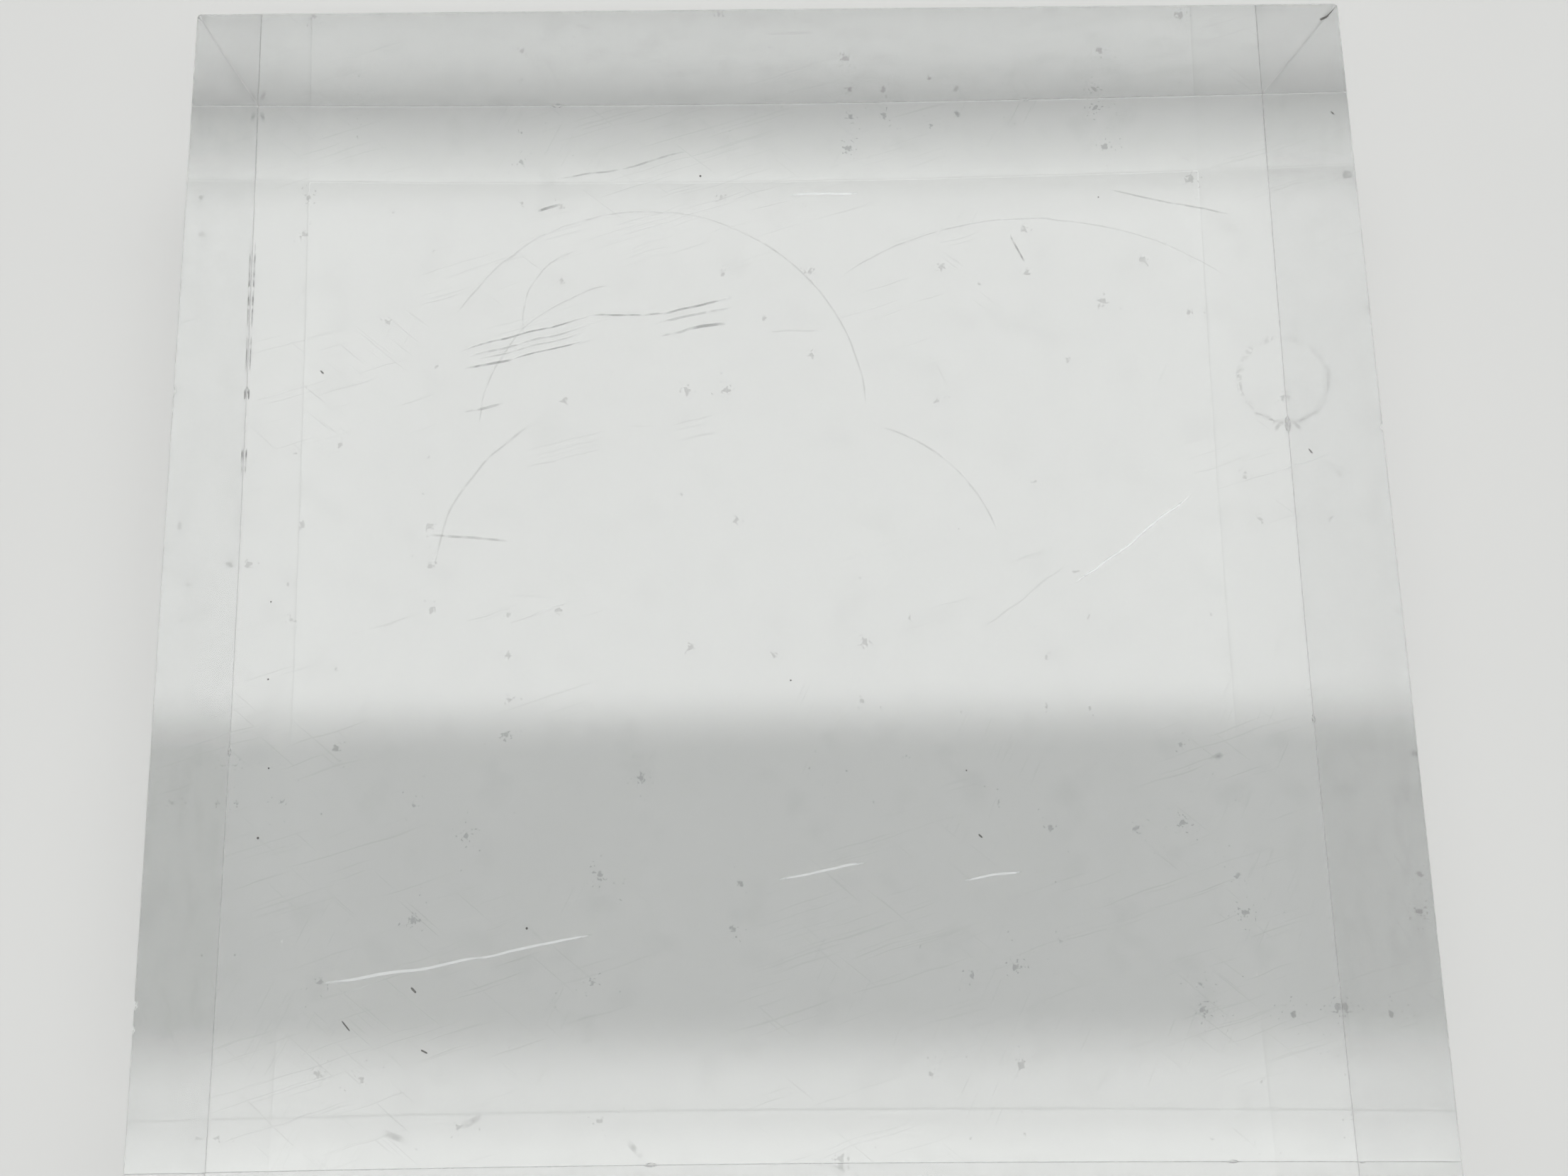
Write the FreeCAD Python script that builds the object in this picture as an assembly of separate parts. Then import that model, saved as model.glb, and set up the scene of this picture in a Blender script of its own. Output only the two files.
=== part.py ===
import FreeCAD, Part
import os

# Clear acrylic display block: one square piece cut from thick cast sheet, on which a small
# specimen stands. Its four sides are sawn and polished clear, so the whole block is see-through.
#
# Frame: +Z up, origin at the centre of the base face. +Y points to the back, +X to the right.
# All lengths are in millimetres.

# Driving dimensions
BLOCK_WIDTH = 101.6  # along X, left side to right side
BLOCK_DEPTH = 101.6  # along Y, front side to back side
SHEET_THICKNESS = 24.0  # along Z, the true thickness of nominal one inch cast sheet
CORNER_RADIUS = 0.35  # upright corners, rounded by the polishing wheel
TOP_EDGE_BREAK = 0.1  # narrow bevel scraped along the display face's edges
BASE_EDGE_BREAK = 0.2  # wider bevel along the base face's edges

# Two places closer than this are the same place
SAME_PLACE = 1e-6


def sawn_blank():
    """The square blank as it leaves the saw, standing on the base plane."""
    low_corner = FreeCAD.Vector(-BLOCK_WIDTH / 2, -BLOCK_DEPTH / 2, 0)
    return Part.makeBox(BLOCK_WIDTH, BLOCK_DEPTH, SHEET_THICKNESS, low_corner)


def edges_at_height(solid, height):
    """The edges that lie wholly in the level plane at this height."""
    return [
        edge
        for edge in solid.Edges
        if all(abs(vertex.Z - height) < SAME_PLACE for vertex in edge.Vertexes)
    ]


def upright_edges(solid):
    """The edges that run from the base face up to the display face."""
    return [
        edge
        for edge in solid.Edges
        if abs(edge.Vertexes[0].Z - edge.Vertexes[-1].Z) > SAME_PLACE
    ]


def round_corners(solid):
    """Round the four upright corners."""
    return solid.makeFillet(CORNER_RADIUS, upright_edges(solid))


def break_edges(solid, height, bevel):
    """Bevel the closed run of edges around the face at this height."""
    return solid.makeChamfer(bevel, edges_at_height(solid, height))


def acrylic_block():
    """The finished block: sawn square, corners rounded, sharp edges broken."""
    block = round_corners(sawn_blank())
    block = break_edges(block, SHEET_THICKNESS, TOP_EDGE_BREAK)
    block = break_edges(block, 0, BASE_EDGE_BREAK)
    return block.Solids[0]


def main():
    """Write one STEP file for each piece."""
    os.makedirs("parts", exist_ok=True)
    pieces = {"acrylic_block": acrylic_block()}
    for name, solid in pieces.items():
        solid.exportStep(f"parts/{name}.step")
        box = solid.BoundBox
        print(f"{name}: {box.XLength:.2f} x {box.YLength:.2f} x {box.ZLength:.2f} mm,")
        print(f"  {solid.Volume / 1000:.2f} cm3, {len(solid.Faces)} faces, valid {solid.isValid()}")


main()
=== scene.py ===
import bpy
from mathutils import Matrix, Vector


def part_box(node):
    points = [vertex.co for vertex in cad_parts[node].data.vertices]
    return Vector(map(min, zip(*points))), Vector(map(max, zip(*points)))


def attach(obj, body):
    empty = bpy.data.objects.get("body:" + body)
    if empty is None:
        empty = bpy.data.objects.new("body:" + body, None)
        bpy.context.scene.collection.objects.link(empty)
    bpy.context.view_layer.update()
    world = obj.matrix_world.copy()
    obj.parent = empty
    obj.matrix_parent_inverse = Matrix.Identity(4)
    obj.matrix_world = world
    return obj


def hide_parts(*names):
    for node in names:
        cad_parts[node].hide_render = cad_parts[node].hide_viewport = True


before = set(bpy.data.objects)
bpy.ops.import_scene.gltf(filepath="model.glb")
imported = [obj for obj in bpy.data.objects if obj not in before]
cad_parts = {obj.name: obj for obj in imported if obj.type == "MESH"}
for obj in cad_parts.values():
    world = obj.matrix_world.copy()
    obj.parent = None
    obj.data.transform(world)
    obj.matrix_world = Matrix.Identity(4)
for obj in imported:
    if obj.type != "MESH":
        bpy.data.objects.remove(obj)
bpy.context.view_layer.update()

import math

import bpy
import numpy as np

bl_info = {
    "name": "Acrylic display block",
    "version": (1, 0, 0),
    "blender": (4, 5, 0),
    "location": "3D View > Sidebar > Display Block",
    "description": "Makes a clear, lightly worn acrylic display block on a pale studio table",
    "category": "Object",
}

MM = 0.001
CAD_NODE = "acrylic_block"
LOW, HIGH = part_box(CAD_NODE)
HALF_X = (HIGH.x - LOW.x) / 2 / MM
HALF_Y = (HIGH.y - LOW.y) / 2 / MM
HEIGHT = HIGH.z / MM

# The film of air between the base face and the table, in millimetres.
TABLE_GAP = 0.1

# A nick's ellipsoid beside its depth: its radius inward and its radius across the edge.
NICK_INWARD = 1.15
NICK_ACROSS = 1.7

# The soft panels' length, and how far their glow fades in from their ends and from their sides,
# in metres.
PANEL_LENGTH = 1.9
PANEL_END_SOFT = 0.6
PANEL_SIDE_SOFT = 0.06

# A vertex that a nick moved further than this, in millimetres, belongs to broken acrylic.
BROKEN_MOVE = 0.004

# How far down the worn tips of the upright corners fade, in millimetres, and the least corner
# radius for each millimetre of inset, which matters at the bevels.
TIP_FADE = 1.2
RADIUS_FOR_INSET = 1.2

# Small nicks knocked out of the block's edges. Each is the side of the block that it is on (0 right,
# 1 back, 2 left, 3 front), its place along that side from the middle, anticlockwise, then its half
# length along the edge and its depth, all in millimetres.
TOP_NICKS = [
    (0, 13.5, 0.60, 0.07),
    (0, 11.7, 0.38, 0.17),
    (0, 10.1, 0.32, 0.08),
    (0, 48.6, 0.35, 0.08),
    (0, -21.0, 0.30, 0.06),
    (0, -37.5, 0.50, 0.09),
    (1, 48.3, 0.90, 0.06),
    (1, 12.5, 0.35, 0.05),
    (1, -31.0, 0.50, 0.06),
    (2, -27.5, 0.60, 0.06),
    (2, -25.0, 0.32, 0.13),
    (2, -15.9, 0.50, 0.18),
    (2, -14.2, 0.30, 0.12),
    (2, 2.6, 0.35, 0.06),
    (2, 33.7, 0.36, 0.20),
    (2, 35.5, 0.34, 0.14),
    (2, 37.4, 1.40, 0.08),
    (3, -31.0, 0.60, 0.10),
    (3, 6.5, 0.40, 0.08),
    (3, 27.4, 0.70, 0.13),
]
BASE_NICKS = [
    (0, -12.0, 0.50, 0.12),
    (0, 16.5, 0.80, 0.20),
    (1, 20.5, 0.60, 0.14),
    (1, -27.0, 0.40, 0.10),
    (2, -21.0, 0.50, 0.11),
    (2, 14.0, 0.45, 0.12),
    (3, -11.5, 0.55, 0.13),
    (3, 40.0, 0.45, 0.10),
]

# Strokes on the display face: (start x, y), (end x, y) and half width, in millimetres from its
# middle. Dark and faint ones are painted near-black, as painted shade where a scratch breaks the
# bright reflection of the far panel; pale ones are bare scuffed acrylic.
SHADED_SCRATCHES = [
    ((-26.9, 19.1), (-15.4, 22.2), 0.09),
    ((-15.6, 22.2), (-9.2, 22.3), 0.09),
    ((-9.6, 22.2), (-3.6, 23.6), 0.11),
    ((-26.2, 17.5), (-22.0, 18.5), 0.12),
    ((-22.4, 18.4), (-16.4, 19.9), 0.08),
    ((-7.8, 20.8), (-4.3, 21.4), 0.14),
    ((-20.2, 31.7), (-18.4, 32.4), 0.14),
    ((20.5, 29.0), (21.5, 26.7), 0.10),
]
FAINT_SHADED_SCRATCHES = [
    ((-26.0, 18.6), (-16.0, 21.2), 0.10),
    ((-25.0, 18.4), (-16.4, 20.6), 0.08),
    ((-10.0, 21.5), (-3.8, 22.7), 0.12),
    ((-9.6, 20.3), (-7.2, 20.9), 0.12),
    ((-26.2, 13.8), (-22.8, 14.5), 0.12),
    ((-28.8, 3.3), (-22.4, 2.7), 0.12),
    ((-18.2, 34.8), (-13.0, 35.6), 0.10),
    ((-13.2, 35.5), (-7.4, 37.2), 0.10),
    ((29.4, 33.2), (35.0, 31.8), 0.09),
    ((34.6, 31.9), (39.4, 30.9), 0.09),
]
PALE_SCRATCHES = [
    ((-36.4, -32.2), (-22.8, -30.3), 0.13),
    ((-24.8, -30.6), (-15.4, -28.7), 0.12),
    ((-0.6, -24.7), (6.2, -23.5), 0.12),
    ((14.0, -24.9), (18.4, -24.2), 0.10),
    ((1.4, 33.1), (7.4, 33.1), 0.12),
    ((24.2, -1.4), (34.2, 6.0), 0.11),
]

# Dirt on the display face, among it a dark crack under the back right corner, and on the base,
# mostly along its left edge, with a few soft smears of dust.
FACE_DIRT = [
    ((49.1, 49.2), (49.8, 49.55), 0.13),
    ((49.6, 49.4), (50.35, 50.2), 0.05),
    ((49.2, 40.3), (49.4, 40.1), 0.08),
    ((44.4, 9.8), (44.6, 9.5), 0.07),
    ((15.3, -21.4), (15.5, -21.6), 0.07),
    ((-38.4, 17.5), (-38.2, 17.3), 0.07),
    ((-29.3, -32.6), (-29.0, -32.9), 0.09),
    ((-34.6, -35.0), (-34.0, -35.7), 0.06),
    ((-28.4, -37.2), (-28.0, -37.4), 0.07),
]
BASE_DIRT = [
    ((-50.55, 36.4), (-50.6, 27.4), 0.09),
    ((-50.6, 26.6), (-50.6, 23.0), 0.07),
    ((-50.6, 21.2), (-50.6, 20.2), 0.07),
    ((-50.6, 15.2), (-50.6, 12.6), 0.09),
]
BASE_SMEARS = [
    ((-50.4, 50.0), (-50.2, 49.2), 0.24),
    ((50.3, 17.0), (49.6, 16.0), 0.24),
    ((-35.2, -47.8), (-33.4, -48.5), 0.34),
    ((-28.2, -47.3), (-26.8, -46.7), 0.36),
    ((-13.4, -49.0), (-12.4, -50.0), 0.32),
    ((20.0, 49.6), (20.2, 49.3), 0.26),
    ((41.3, -15.6), (41.9, -15.3), 0.34),
]

# Curved wipe marks, painted dark as painted shade: centre (x, y), radius, the angle at the arc's
# middle and half the angle that it spans, in degrees, and half width.
SHADED_WIPE_ARCS = [
    ((-11.0, 13.0), 18.6, 104, 42, 0.12),
    ((-11.0, 13.0), 18.6, 38, 30, 0.12),
    ((-12.0, 12.0), 13.0, 138, 34, 0.10),
    ((-13.2, -0.8), 15.2, 146, 22, 0.15),
    ((5.0, -1.0), 13.6, 46, 22, 0.12),
    ((22.0, 2.0), 28.6, 90, 30, 0.10),
    ((-15.0, 22.0), 6.4, 150, 38, 0.10),
]


class BlockShape(bpy.types.PropertyGroup):
    """Sizes of the block's edges; its length, width and height come from the plain block in model.glb."""

    corner_radius: bpy.props.FloatProperty(
        name="Corner radius",
        description="Radius of the four corners of the display face",
        default=0.35 * MM,
        unit="LENGTH",
    )
    lower_corner_radius: bpy.props.FloatProperty(
        name="Lower corner radius",
        description="Radius of the four upright edges below their worn tips",
        default=0.03 * MM,
        unit="LENGTH",
    )
    top_bevel: bpy.props.FloatProperty(
        name="Top bevel",
        description="Width of the bevel along the display face",
        default=0.1 * MM,
        unit="LENGTH",
    )
    base_bevel: bpy.props.FloatProperty(
        name="Base bevel",
        description="Width of the bevel along the base face",
        default=0.06 * MM,
        unit="LENGTH",
    )
    nick_size: bpy.props.FloatProperty(
        name="Nick size",
        description="Scale of the small nicks knocked out of the edges; 0 leaves the edges whole",
        default=1.0,
        min=0.0,
        subtype="FACTOR",
    )


class BlockFinish(bpy.types.PropertyGroup):
    """Colours and wear of the polished acrylic, with painted shade in its grey tint and its dark share."""

    # A grey far darker than clear acrylic: painted shade that darkens the table and all else seen through the
    # block.
    tint_with_painted_shade: bpy.props.FloatVectorProperty(
        name="Acrylic tint",
        description="Colour that the clear acrylic gives to light that passes through a face",
        default=(0.842, 0.850, 0.847),
        subtype="COLOR",
        min=0.0,
        max=1.0,
    )
    scuff_colour: bpy.props.FloatVectorProperty(
        name="Scuff colour",
        description="Colour of scratched, frosted acrylic",
        default=(0.74, 0.76, 0.76),
        subtype="COLOR",
        min=0.0,
        max=1.0,
    )
    # Also the colour of painted shade: the dark share on the sides and the dark scratches and wipe marks on
    # the display face take it.
    dirt_and_shade_colour: bpy.props.FloatVectorProperty(
        name="Dirt colour",
        description="Colour of the dark specks stuck to the faces",
        default=(0.045, 0.042, 0.038),
        subtype="COLOR",
        min=0.0,
        max=1.0,
    )
    # Also the strength of the painted shade on the sides and in the dark scratches and wipe marks.
    wear_and_shade: bpy.props.FloatProperty(
        name="Wear",
        description="Strength of the scratches, wipe marks and smudges",
        default=1.0,
        min=0.0,
        subtype="FACTOR",
    )


class StudioSetting(bpy.types.PropertyGroup):
    """Table, lamps and camera."""

    table_colour: bpy.props.FloatVectorProperty(
        name="Table colour",
        description="Colour of the plain pale table",
        default=(0.635, 0.64, 0.63),
        subtype="COLOR",
        min=0.0,
        max=1.0,
    )
    lamp_height: bpy.props.FloatProperty(
        name="Lamp height",
        description="Height of the two soft panels above the display face",
        default=0.8,
        unit="LENGTH",
    )
    panel_glow: bpy.props.FloatProperty(
        name="Panel brightness",
        description="Radiance of the far soft panel",
        default=3.5,
        min=0.0,
    )
    near_share: bpy.props.FloatProperty(
        name="Near panel share",
        description="Brightness of the near soft panel beside the far one",
        default=0.85,
        min=0.0,
        subtype="FACTOR",
    )
    surround_glow: bpy.props.FloatProperty(
        name="Surround brightness",
        description="Radiance of the pale room at the horizon",
        default=0.7,
        min=0.0,
    )


# ---------------------------------------------------------------- shapes


def nick_steps(side, nicks):
    """Places along one side that are packed closely over each of its nicks, in an even row from
    1.2 half lengths before the nick's middle to 1.2 half lengths after it."""
    row = np.linspace(-1.2, 1.2, 21)
    return [place + row * half_length for on_side, place, half_length, _ in nicks if on_side == side]


def block_outline(radius, coarse_step, nicks):
    """The square outline in plan, and how its corners round off, anticlockwise from the right side.

    Each quarter is a straight side followed by a quarter turn at its corner, and is turned a
    quarter turn for the next side. Places along a side are an even row, with closer places over
    each nick, all rounded to a hundredth of a millimetre. Gives the places at a corner radius of
    zero, what to add to them for each millimetre of radius, which at an angle t round the corner
    is the cosine and the sine of t, less 1, and the outward directions.
    """
    squares, roundings, directions = [], [], []
    for side in range(4):
        out, along = (HALF_X, HALF_Y) if side % 2 == 0 else (HALF_Y, HALF_X)
        straight = along - radius
        even = np.linspace(-straight, straight, round(2 * straight / coarse_step) + 1)
        places = np.concatenate([even, *nick_steps(side, nicks)])
        places = np.unique(places.clip(-straight, straight).round(2))
        places = places[places < straight - 0.02]
        arc = np.linspace(0, math.pi / 2, 10)[:-1]
        turn = side * math.pi / 2
        spin = np.array([[math.cos(turn), math.sin(turn)], [-math.sin(turn), math.cos(turn)]])
        corner = np.full((arc.size, 2), [out, along])
        side_line = np.stack([np.full(places.size, out), places], axis=-1)
        squares.append(np.vstack([side_line, corner]) @ spin)
        rounding = np.stack([np.cos(arc) - 1, np.sin(arc) - 1], axis=-1)
        roundings.append(np.vstack([np.zeros((places.size, 2)), rounding]) @ spin)
        directions.append(turn + np.concatenate([np.zeros(places.size), arc]))
    direction = np.concatenate(directions)
    outward = np.stack([np.cos(direction), np.sin(direction)], axis=-1)
    return np.vstack(squares), np.vstack(roundings), outward


def block_section(top_bevel, base_bevel):
    """The block's half section from the middle of the base to the middle of the display face.

    Each row is (inset from the outline, share of the way out from the middle, height). Distances
    from an edge grow by the same ratio from row to row, so that the rows close up towards it. A
    bevel is a slightly rounded 45 degree flat: the curve where the two distances from the corner,
    each to the power 1.3, add up to one. Also gives the part of the block between each row and
    the next: 0 is the base, 1 the sides, 2 the display face and 3 the scraped base edge.
    """
    flat = 1 - np.geomspace(0.03, 38, 17) / max(HALF_X, HALF_Y)
    corner = np.linspace(0, math.pi / 2, 5)
    across, up = 1 - np.sin(corner) ** (2 / 1.3), 1 - np.cos(corner) ** (2 / 1.3)
    climb = np.geomspace(0.03, 9, 12)
    low, high = base_bevel + climb, HEIGHT - top_bevel - climb[::-1]
    wall = np.concatenate([low, [(low[-1] + high[0]) / 2], high])
    ones = np.ones_like
    rows = [
        (ones(flat) * base_bevel, flat[::-1], ones(flat) * 0.0),
        (base_bevel * across, ones(across), base_bevel * up),
        (ones(wall) * 0.0, ones(wall), wall),
        (top_bevel * across[::-1], ones(across), HEIGHT - top_bevel * up[::-1]),
        (ones(flat) * top_bevel, flat, ones(flat) * HEIGHT),
    ]
    steps = corner.size - 1
    part = np.repeat([0, 3, 1, 2], [flat.size, steps, wall.size + 1 + steps, flat.size])
    return *np.concatenate([np.stack(row) for row in rows], axis=1), part


def cut_nick(points, side, place, half_length, depth, edge_height, down):
    """Push the points that lie in one nick in to its floor, and return how far each one moved.

    The nick is an ellipsoid centred on the edge. A point inside it moves along the inward
    45 degree diagonal to the ellipsoid's far side, where the squares of its three distances,
    each over its radius, add up to one. A cosine ripple makes the shell-like steps of a broken
    edge.
    """
    turn = side * math.pi / 2
    out = np.array([math.cos(turn), math.sin(turn), 0.0])
    along = np.array([-math.sin(turn), math.cos(turn), 0.0])
    inward = (np.array([0.0, 0.0, down]) - out) / math.sqrt(2)
    middle = out * (HALF_X if side % 2 == 0 else HALF_Y) + along * place + [0.0, 0.0, edge_height]
    across, deep = NICK_ACROSS * depth, NICK_INWARD * depth
    axes = np.stack([along / half_length, np.cross(along, inward) / across, inward / deep])
    u, v, w = axes @ (points - middle).T
    floor = 1 - u**2 - v**2
    ripple = 1 + 0.1 * np.cos(7 * u + 4 * v + place)
    moved = ((np.sqrt(floor.clip(0)) * ripple - w) * NICK_INWARD * depth).clip(0) * (floor > 0)
    points += moved[:, None] * inward
    return moved


def block_surface(shape):
    """Vertices, faces and their parts of the worn block, in millimetres.

    The surface is a grid of two parameters: one runs round the outline and one along the
    section. A point is the outline's point drawn in by the section's inset, then brought
    towards the middle by its share, at the section's height. The upright corners are crisp low
    down and worn round near the display face: their radius falls with the square of the depth
    below it, as a bell curve, and it is never less than a set share of the inset, so that a
    bevel's corner doesn't cross itself. The grid is closed by
    one point in the middle of the base and one in the middle of the display face. Faces with
    broken corners are part 3.
    """
    size = shape.nick_size
    top_nicks = [(side, at, half * size, depth * size) for side, at, half, depth in TOP_NICKS if size]
    base_nicks = [(side, at, half * size, depth * size) for side, at, half, depth in BASE_NICKS if size]
    crisp, worn = shape.lower_corner_radius / MM, shape.corner_radius / MM
    square, rounding, outward = block_outline(worn, 1.3, top_nicks + base_nicks)
    inset, share, height, part = block_section(shape.top_bevel / MM, shape.base_bevel / MM)
    radius = crisp + (worn - crisp) * np.exp(-(((HEIGHT - height) / TIP_FADE) ** 2))
    radius = np.maximum(radius, RADIUS_FOR_INSET * inset)
    rows, columns = inset.size, len(square)
    plan = square + radius[:, None, None] * rounding - inset[:, None, None] * outward
    level = np.repeat(height[:, None, None], columns, axis=1)
    points = np.concatenate([plan * share[:, None, None], level], axis=-1).reshape(-1, 3)
    moved = np.zeros(len(points))
    for nick in top_nicks:
        moved += cut_nick(points, *nick, edge_height=HEIGHT, down=-1)
    for nick in base_nicks:
        moved += cut_nick(points, *nick, edge_height=0.0, down=1)

    row, column = np.meshgrid(np.arange(rows - 1), np.arange(columns), indexing="ij")
    here, beside = row * columns + column, row * columns + (column + 1) % columns
    quads = np.stack([here, beside, beside + columns, here + columns], axis=-1).reshape(-1, 4)
    broken = (moved[quads] > BROKEN_MOVE).sum(axis=1) > 2
    quad_part = np.where(broken, 3, np.repeat(part, columns))
    first, last = np.arange(columns), np.arange(columns) + (rows - 1) * columns
    low, high = np.full(columns, len(points)), np.full(columns, len(points) + 1)
    base_fan = np.stack([low, np.roll(first, -1), first], axis=-1)
    top_fan = np.stack([high, last, np.roll(last, -1)], axis=-1)
    vertices = np.vstack([points, [[0, 0, 0], [0, 0, HEIGHT]]])
    fan_part = np.repeat([0, 2], columns)
    return vertices, quads, np.vstack([base_fan, top_fan]), np.concatenate([quad_part, fan_part])


def new_mesh_object(name, vertices, quads, triangles):
    """A mesh object from whole arrays: vertices in millimetres, then the vertex numbers of its
    four-sided faces and of its three-sided faces."""
    mesh = bpy.data.meshes.new(name)
    corners = np.concatenate([quads.ravel(), triangles.ravel()]).astype(np.int32)
    sizes = np.repeat([4, 3], [len(quads), len(triangles)])
    mesh.vertices.add(len(vertices))
    mesh.vertices.foreach_set("co", (vertices * MM).astype(np.float32).ravel())
    mesh.loops.add(corners.size)
    mesh.loops.foreach_set("vertex_index", corners)
    mesh.polygons.add(sizes.size)
    mesh.polygons.foreach_set("loop_start", (np.cumsum(sizes) - sizes).astype(np.int32))
    mesh.update(calc_edges=True)
    mesh.validate()
    thing = bpy.data.objects.new(name, mesh)
    bpy.context.scene.collection.objects.link(thing)
    return thing


# ---------------------------------------------------------------- materials


class Value:
    """A number that varies over a surface. Arithmetic on it adds Math nodes to its finish."""

    def __init__(self, finish, socket):
        self.finish = finish
        self.socket = socket

    def __add__(self, other):
        return self.finish.math("ADD", self, other)

    def __radd__(self, other):
        return self.finish.math("ADD", other, self)

    def __sub__(self, other):
        return self.finish.math("SUBTRACT", self, other)

    def __rsub__(self, other):
        return self.finish.math("SUBTRACT", other, self)

    def __mul__(self, other):
        return self.finish.math("MULTIPLY", self, other)

    def __rmul__(self, other):
        return self.finish.math("MULTIPLY", other, self)

    def __truediv__(self, other):
        return self.finish.math("DIVIDE", self, other)

    def __rtruediv__(self, other):
        return self.finish.math("DIVIDE", other, self)

    def __abs__(self):
        return self.finish.math("ABSOLUTE", self)

    def within(self):
        """The value held between 0 and 1."""
        return self.finish.value("ShaderNodeClamp", "Result", Value=self)

    def or_more(self, other):
        """The larger of the two."""
        return self.finish.math("MAXIMUM", self, other)

    def or_less(self, other):
        """The smaller of the two."""
        return self.finish.math("MINIMUM", self, other)


class Finish:
    """The nodes of a material, a lamp or the surround, while they are put together."""

    def __init__(self, owner, output):
        owner.use_nodes = True
        self.tree = owner.node_tree
        self.tree.nodes.clear()
        self.output = self.node(output)

    def node(self, kind, settings=None, **inputs):
        """Any node: its settings are set first, then its sockets get values or links."""
        made = self.tree.nodes.new(kind)
        for key, setting in (settings or {}).items():
            setattr(made, key, setting)
        for key, given in inputs.items():
            self.feed(made.inputs[key.replace("_", " ")], given)
        return made

    def feed(self, socket, given):
        """Give a socket a link or a plain value."""
        given = given.socket if isinstance(given, Value) else given
        if isinstance(given, bpy.types.NodeSocket):
            self.tree.links.new(given, socket)
        else:
            socket.default_value = given

    def value(self, kind, output, settings=None, **inputs):
        """One output of a new node, as a number."""
        return Value(self, self.node(kind, settings, **inputs).outputs[output])

    def math(self, operation, *operands):
        """A Math node."""
        made = self.node("ShaderNodeMath", {"operation": operation})
        for socket, operand in zip(made.inputs, operands):
            self.feed(socket, operand)
        return Value(self, made.outputs[0])

    def vector(self, operation, *operands):
        """A Vector Math node."""
        made = self.node("ShaderNodeVectorMath", {"operation": operation})
        for socket, operand in zip(made.inputs, operands):
            self.feed(socket, operand)
        return made.outputs["Vector"]

    def length(self, vector):
        """A vector's length."""
        return self.value("ShaderNodeVectorMath", "Value", {"operation": "LENGTH"}, Vector=vector)

    def parts(self, vector):
        """The x, y and z of a vector."""
        split = self.node("ShaderNodeSeparateXYZ", Vector=vector)
        return [Value(self, split.outputs[axis]) for axis in "XYZ"]

    def placed(self, vector, at=(0, 0, 0), turn=0.0, unit=(1, 1, 1)):
        """The vector seen from a point, turned about Z and measured in the given units."""
        settings = {"vector_type": "TEXTURE"}
        seen = self.node("ShaderNodeMapping", settings, Location=at, Rotation=(0, 0, turn), Scale=unit)
        self.feed(seen.inputs["Vector"], vector)
        return seen.outputs["Vector"]

    def noise(self, vector, scale, detail=2.0, roughness=0.5):
        """Soft noise from 0 to 1."""
        inputs = {"Vector": vector, "Scale": scale, "Detail": detail, "Roughness": roughness}
        return self.value("ShaderNodeTexNoise", 0, **inputs)

    def mix(self, amount, first, second):
        """A colour between two colours."""
        made = self.node("ShaderNodeMix", {"data_type": "RGBA"}, Factor=amount)
        self.feed(made.inputs[6], first)
        self.feed(made.inputs[7], second)
        return made.outputs[2]

    def millimetres(self):
        """The place on the object in millimetres."""
        metres = self.node("ShaderNodeTexCoord").outputs["Object"]
        return self.vector("MULTIPLY", metres, (1 / MM, 1 / MM, 1 / MM))


def stroke_mask(finish, place, strokes, sharpness):
    """Straight strokes. Seen from a stroke's middle, u runs along it in half lengths and v across
    it in half widths. The root of u to the power 4 plus v to the power 4 is under 1 inside a long
    thin shape with blunt ends. The mask is 1 minus the least of these over all strokes, times the
    sharpness, held between 0 and 1."""
    nearest = None
    for start, end, half_width in strokes:
        run, rise = end[0] - start[0], end[1] - start[1]
        middle = ((start[0] + end[0]) / 2, (start[1] + end[1]) / 2, HEIGHT / 2)
        unit = (math.hypot(run, rise) / 2 + half_width, half_width, 1000)
        seen = finish.placed(place, middle, math.atan2(rise, run), unit)
        distance = finish.length(finish.vector("MULTIPLY", seen, seen))
        nearest = distance if nearest is None else nearest.or_less(distance)
    return ((1 - nearest) * sharpness).within()


def arc_mask(finish, place, arcs):
    """Curved wipe marks. Seen from an arc's centre in radii, the distance from the line is the
    distance from the unit circle in half widths, plus a part that grows beyond the arc's two
    ends. The mask is 1 minus the least of these over all arcs, held between 0 and 1."""
    nearest = None
    for centre, radius, angle, half_angle, half_width in arcs:
        unit = (radius, radius, 1000)
        seen = finish.placed(place, (*centre, HEIGHT / 2), math.radians(angle), unit)
        beyond = (math.cos(math.radians(half_angle)) - finish.parts(seen)[0]).or_more(0)
        distance = abs(finish.length(seen) - 1) * (radius / half_width) + beyond * 12
        nearest = distance if nearest is None else nearest.or_less(distance)
    return (1 - nearest).within()


def hairline_mask(finish, place, angle, length, width, level):
    """Fine straight hairlines all one way: noise stretched to the given length and width, cut at
    a high level so that only its crests show."""
    stretched = finish.placed(place, (0, 0, 0), math.radians(angle), (length, width, 50))
    return ((finish.noise(stretched, 1.0, detail=1.0) - level) * 14).within()


def speck_mask(finish, place, spacing, size, share, ragged=1.0):
    """Small specks, at most one to each cell of a Voronoi pattern: the cell's own chance decides
    whether it has a speck and how large it is. `ragged` stretches the distance from a speck's
    middle, so that a varying value gives it an uneven rim."""
    cells = finish.node("ShaderNodeTexVoronoi", {"voronoi_dimensions": "2D"}, Vector=place, Scale=1 / spacing)
    chance, largeness, _ = finish.parts(cells.outputs["Color"])
    edge = largeness * (size / spacing) - Value(finish, cells.outputs["Distance"]) * ragged
    return (edge * (3 * spacing / size)).within() * finish.math("LESS_THAN", chance, share)


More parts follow.
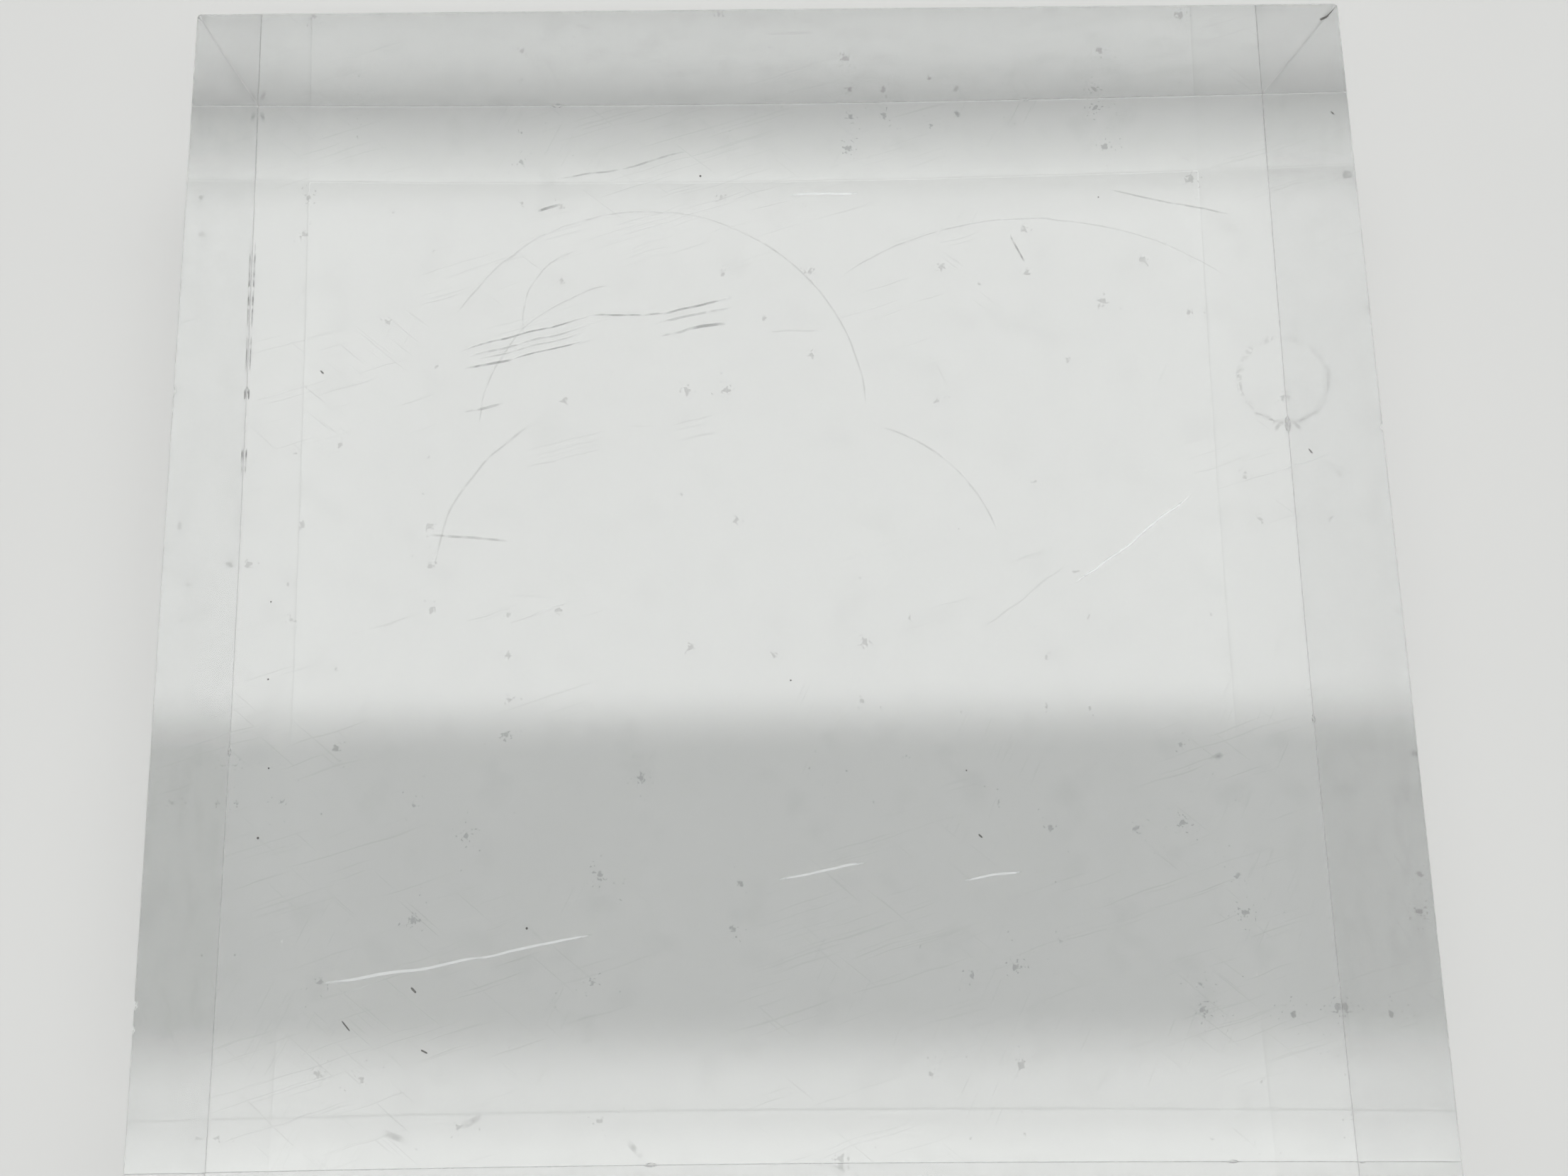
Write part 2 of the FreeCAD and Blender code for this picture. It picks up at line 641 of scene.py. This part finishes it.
def ring_mask(finish, place, centre, radius, half_width):
    """The ring of small dots that a drying drop leaves: the mask of a circle, broken up by fine
    noise."""
    seen = finish.placed(place, (*centre, 0), 0.0, (1, 1, 1000))
    off_line = abs(finish.length(seen) - radius) / half_width
    dots = ((finish.noise(place, 2.6) - 0.42) * 8).within()
    return (1 - off_line).within() * dots


def acrylic_surface(name, look, marks):
    """A clear acrylic material whose marks hide what is below them.

    `marks` is a function of the finish and of the place in millimetres that gives five values:
    the share of frosted wear, the share of dark dirt and painted shade, the roughness, the relief
    in millimetres, and how far the tint leans to its second colour. Frosted wear, dirt and painted
    shade are an opaque Principled; the clear acrylic is a Principled glass of acrylic's refraction.
    """
    material = bpy.data.materials.new(name)
    finish = Finish(material, "ShaderNodeOutputMaterial")
    frosted, dirt_and_shade, roughness, relief, lean = marks(finish, finish.millimetres())
    bump = finish.node("ShaderNodeBump", Strength=1.0, Distance=MM, Height=relief)
    # The grey tint and its deeper copy are painted shade: they darken all that is seen through the block.
    deeper_tint_with_shade = tuple(channel * 0.985 for channel in look.tint_with_painted_shade)
    scuffed, dark_dirt_and_shade = (*look.scuff_colour, 1.0), (*look.dirt_and_shade_colour, 1.0)
    clear = finish.node(
        "ShaderNodeBsdfPrincipled",
        Base_Color=finish.mix(lean, (*look.tint_with_painted_shade, 1.0), (*deeper_tint_with_shade, 1.0)),
        Roughness=roughness,
        Normal=bump.outputs["Normal"],
        IOR=1.49,
        Transmission_Weight=1.0,
    )
    marked = finish.node(
        "ShaderNodeBsdfPrincipled",
        Base_Color=finish.mix(dirt_and_shade / (frosted + dirt_and_shade + 0.001), scuffed, dark_dirt_and_shade),
        Roughness=0.6,
    )
    shown = finish.node("ShaderNodeMixShader", Fac=((frosted + dirt_and_shade) * look.wear_and_shade).within())
    finish.feed(shown.inputs[1], clear.outputs["BSDF"])
    finish.feed(shown.inputs[2], marked.outputs["BSDF"])
    finish.feed(finish.output.inputs["Surface"], shown.outputs["Shader"])
    return material


def display_face_marks(finish, place):
    """The display face: scratches and round wipe marks from years of use, patches of hairlines,
    finger smudges and a few specks of dirt. Most scratches and the wipe marks are painted dark, as
    painted shade."""
    wander = finish.noise(place, 0.3, detail=1.0)
    shifted = finish.vector("MULTIPLY_ADD", wander.socket, (0.4, -0.4, 0.0), place)
    line = finish.placed(shifted, (0.2, -0.2, 0))
    breaks = ((finish.noise(place, 1.1, detail=2.0) - 0.25) * 3.4).within()
    dark = stroke_mask(finish, line, SHADED_SCRATCHES, 1.5)
    faint = stroke_mask(finish, line, FAINT_SHADED_SCRATCHES, 1.6)
    shaded_wipes = arc_mask(finish, line, SHADED_WIPE_ARCS)
    pale = stroke_mask(finish, line, PALE_SCRATCHES, 2.0)
    patch = ((finish.noise(place, 0.05) - 0.45) * 5).within()
    hairlines = hairline_mask(finish, line, 17, 11.0, 0.20, 0.65)
    hairlines = hairlines.or_more(hairline_mask(finish, line, -40, 7.0, 0.18, 0.69)) * patch
    cloud = finish.noise(place, 0.11, detail=4.0, roughness=0.62)
    smudge = ((cloud - 0.5) * 3).within()
    frosted = pale * 0.42 + hairlines * 0.05 + smudge * 0.02
    # Painted shade: the dark and faint scratches and the wipe marks take a near-black share where they break
    # the panel's reflection; the hairlines add a little grime.
    grime_and_shade = breaks * (dark * 0.46 + faint * 0.26 + shaded_wipes * 0.17) + hairlines * 0.02
    specks = speck_mask(finish, place, 7.0, 0.11, 0.12)
    dirt_and_shade = grime_and_shade.or_more(specks).or_more(stroke_mask(finish, place, FACE_DIRT, 3.0) * 0.8)
    return frosted, dirt_and_shade, hairlines * 0.08 + dark * 0.2, cloud * 0.004, smudge


def base_face_marks(finish, place):
    """The base face: rubbed by the tables it has stood on, with grit, soft spots of dust, the
    broken ring of a dried drop and grime along its edges."""
    patch = ((finish.noise(place, 0.06) - 0.48) * 5).within()
    rub = hairline_mask(finish, place, 63, 5.0, 0.25, 0.64) * patch
    cloud = finish.noise(place, 0.2, detail=3.0)
    smear = ((cloud - 0.56) * 5).within()
    breaks = ((finish.noise(place, 0.9, detail=2.0) - 0.36) * 4).within()
    grime_and_shade = stroke_mask(finish, place, BASE_DIRT, 1.6) * breaks * 0.75
    smears = stroke_mask(finish, place, BASE_SMEARS, 0.8) * breaks * 0.3
    ragged = finish.noise(place, 3.2, detail=1.0) * 5 - 1.2
    dust = speck_mask(finish, place, 4.2, 0.48, 0.30, ragged) * 0.19
    ring = ring_mask(finish, place, (HALF_X, 21.0), 4.3, 0.4) * breaks * 0.28
    dirt_and_shade = grime_and_shade.or_more(smears).or_more(dust).or_more(ring)
    return rub * 0.06 + smear * 0.04, dirt_and_shade, rub * 0.1, cloud * 0.004, smear


def side_marks(finish, place):
    """The polished sides: fine polishing lines along them, a slight haze over them, and painted shade: a dark
    share over all of the sides, larger where the haze is, that darkens them.
    """
    lines = finish.noise(finish.placed(place, (0, 0, 0), 0.0, (14.0, 14.0, 0.5)), 1.0)
    cloud = finish.noise(place, 0.25, detail=3.0)
    haze_and_shade = ((cloud - 0.5) * 3).within()
    scuffs = ((lines - 0.72) * 10).within()
    # Painted shade: the second value is an even dark share of 0.06 over the sides, up to 0.05 more where the
    # haze is, that darkens them.
    return scuffs * 0.03, haze_and_shade * 0.05 + 0.06, haze_and_shade * 0.02 + 0.005, lines * 0.0015, haze_and_shade


def chip_marks(finish, place):
    """The broken faces of nicks: rough, with a little whitening."""
    grain = finish.noise(place, 5.0, detail=3.0)
    white = ((grain - 0.5) * 4).within()
    return white * 0.18, 0.0, 0.06 + grain * 0.3, grain * 0.03, white


def pale_table(studio):
    """Plain pale laminate: an even light grey with a barely visible cloudiness."""
    material = bpy.data.materials.new("pale_table")
    finish = Finish(material, "ShaderNodeOutputMaterial")
    cloud = finish.noise(finish.millimetres(), 0.014, detail=3.0)
    darker = tuple(channel * 0.96 for channel in studio.table_colour)
    surface = finish.node(
        "ShaderNodeBsdfPrincipled",
        Base_Color=finish.mix(cloud, (*studio.table_colour, 1.0), (*darker, 1.0)),
        Roughness=0.5 + cloud * 0.1,
        Specular_IOR_Level=0.3,
    )
    finish.feed(finish.output.inputs["Surface"], surface.outputs["BSDF"])
    return material


# ---------------------------------------------------------------- operators


class DISPLAYBLOCK_OT_make_block(bpy.types.Operator):
    """Make the worn, polished block in place of the plain one"""

    bl_idname = "display_block.make_block"
    bl_label = "Make block"

    def execute(self, context):
        look = context.scene.block_finish
        *surface, part = block_surface(context.scene.block_shape)
        block = new_mesh_object("polished_block", *surface)
        block.data.materials.append(acrylic_surface("base_face", look, base_face_marks))
        block.data.materials.append(acrylic_surface("polished_sides", look, side_marks))
        block.data.materials.append(acrylic_surface("display_face", look, display_face_marks))
        block.data.materials.append(acrylic_surface("chipped_edges", look, chip_marks))
        block.data.polygons.foreach_set("material_index", part.astype(np.int32))
        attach(block, "root")
        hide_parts(CAD_NODE)
        return {"FINISHED"}


class DISPLAYBLOCK_OT_make_studio(bpy.types.Operator):
    """Make the table, the two soft panels, the pale surround and the camera"""

    bl_idname = "display_block.make_studio"
    bl_label = "Make studio"

    def execute(self, context):
        studio = context.scene.studio_setting
        make_table(studio)
        make_panel(studio, "far_panel", middle=0.254, width=0.52, share=1.0)
        make_panel(studio, "near_panel", middle=-0.42, width=0.44, share=studio.near_share)
        make_surround(context.scene, studio)
        make_camera(context.scene)
        return {"FINISHED"}


def make_table(studio):
    """A wide round table top just under the block, as rings of four-sided faces about a middle
    point. The gap keeps a film of air below the base."""
    ring = np.linspace(0, 2 * math.pi, 96, endpoint=False)
    radii = np.array([60.0, 250.0, 1000.0, 4000.0])
    level = np.full((radii.size, ring.size), -TABLE_GAP)
    across, back = radii[:, None] * np.cos(ring), radii[:, None] * np.sin(ring)
    grid = np.stack([across, back, level], axis=-1).reshape(-1, 3)
    row, column = np.meshgrid(np.arange(radii.size - 1), np.arange(ring.size), indexing="ij")
    here, beside = row * ring.size + column, row * ring.size + (column + 1) % ring.size
    quads = np.stack([here, here + ring.size, beside + ring.size, beside], axis=-1).reshape(-1, 4)
    first = np.arange(ring.size)
    fan = np.stack([np.full(ring.size, len(grid)), first, np.roll(first, -1)], axis=-1)
    table = new_mesh_object("table", np.vstack([grid, [[0, 0, -TABLE_GAP]]]), quads, fan)
    table.data.materials.append(pale_table(studio))


def make_panel(studio, name, middle, width, share):
    """One soft panel overhead. Its glow rises from the edges: with t the distance from an edge in
    soft widths, held between 0 and 1, it is t squared times 3 minus 2 t."""
    light = bpy.data.lights.new(name, "AREA")
    light.shape = "RECTANGLE"
    light.size = PANEL_LENGTH
    light.size_y = width
    light.energy = studio.panel_glow * share * math.pi * light.size * width
    light.color = (1.0, 0.997, 0.99)
    finish = Finish(light, "ShaderNodeOutputLight")
    u, v, _ = finish.parts(finish.node("ShaderNodeNewGeometry").outputs["Parametric"])
    glow = 1.0
    for across, length, soft in ((u, PANEL_LENGTH, PANEL_END_SOFT), (v, width, PANEL_SIDE_SOFT)):
        t = ((0.5 - abs(across - 0.5)) * (length / soft)).within()
        glow = glow * (t * t * (3 - 2 * t))
    emission = finish.node("ShaderNodeEmission", Strength=glow)
    finish.feed(finish.output.inputs["Surface"], emission.outputs["Emission"])
    panel = bpy.data.objects.new(name, light)
    panel.location = (0.0, middle, HEIGHT * MM + studio.lamp_height)
    bpy.context.scene.collection.objects.link(panel)


def make_surround(scene, studio):
    """A pale room, dim overhead and brighter towards the horizon with the square of the distance
    below the top. Light finds its way under the block only through many clear faces, so long
    paths are allowed and kept sharp."""
    world = bpy.data.worlds.new("pale_room")
    scene.world = world
    finish = Finish(world, "ShaderNodeOutputWorld")
    _, _, height = finish.parts(finish.node("ShaderNodeTexCoord").outputs["Generated"])
    below_top = 1 - height.within()
    glow = 0.24 + below_top * below_top * 0.76
    background = finish.node("ShaderNodeBackground", Strength=glow * studio.surround_glow)
    finish.feed(finish.output.inputs["Surface"], background.outputs["Background"])
    scene.view_settings.view_transform = "Standard"
    scene.cycles.max_bounces = 24
    scene.cycles.glossy_bounces = 12
    scene.cycles.transmission_bounces = 24
    scene.cycles.blur_glossy = 0.0


def make_camera(scene):
    """A close, wide view from just above the block, leaning a little towards its far side."""
    lens = bpy.data.cameras.new("camera")
    lens.lens = 25.67
    lens.sensor_width = 36.0
    lens.shift_x = 0.054
    lens.shift_y = 0.004
    lens.clip_start = 0.005
    camera = bpy.data.objects.new("camera", lens)
    camera.location = (-6.8 * MM, -15.9 * MM, (HEIGHT + 90.4) * MM)
    camera.rotation_euler = (math.radians(8.8), 0.0, math.radians(-0.6))
    scene.collection.objects.link(camera)
    scene.camera = camera


class DISPLAYBLOCK_PT_panel(bpy.types.Panel):
    """Lists the block's settings and the steps that make it"""

    bl_idname = "DISPLAYBLOCK_PT_panel"
    bl_label = "Display Block"
    bl_space_type = "VIEW_3D"
    bl_region_type = "UI"
    bl_category = "Display Block"

    def draw(self, context):
        for group in (context.scene.block_shape, context.scene.block_finish, context.scene.studio_setting):
            box = self.layout.box()
            for name in group.__annotations__:
                box.prop(group, name)
        self.layout.operator("display_block.make_block")
        self.layout.operator("display_block.make_studio")


CLASSES = (
    BlockShape,
    BlockFinish,
    StudioSetting,
    DISPLAYBLOCK_OT_make_block,
    DISPLAYBLOCK_OT_make_studio,
    DISPLAYBLOCK_PT_panel,
)


def register():
    for each in CLASSES:
        bpy.utils.register_class(each)
    bpy.types.Scene.block_shape = bpy.props.PointerProperty(type=BlockShape)
    bpy.types.Scene.block_finish = bpy.props.PointerProperty(type=BlockFinish)
    bpy.types.Scene.studio_setting = bpy.props.PointerProperty(type=StudioSetting)


def unregister():
    del bpy.types.Scene.studio_setting
    del bpy.types.Scene.block_finish
    del bpy.types.Scene.block_shape
    for each in reversed(CLASSES):
        bpy.utils.unregister_class(each)


def main():
    register()
    bpy.ops.display_block.make_block()
    bpy.ops.display_block.make_studio()


if __name__ == "__main__":
    main()
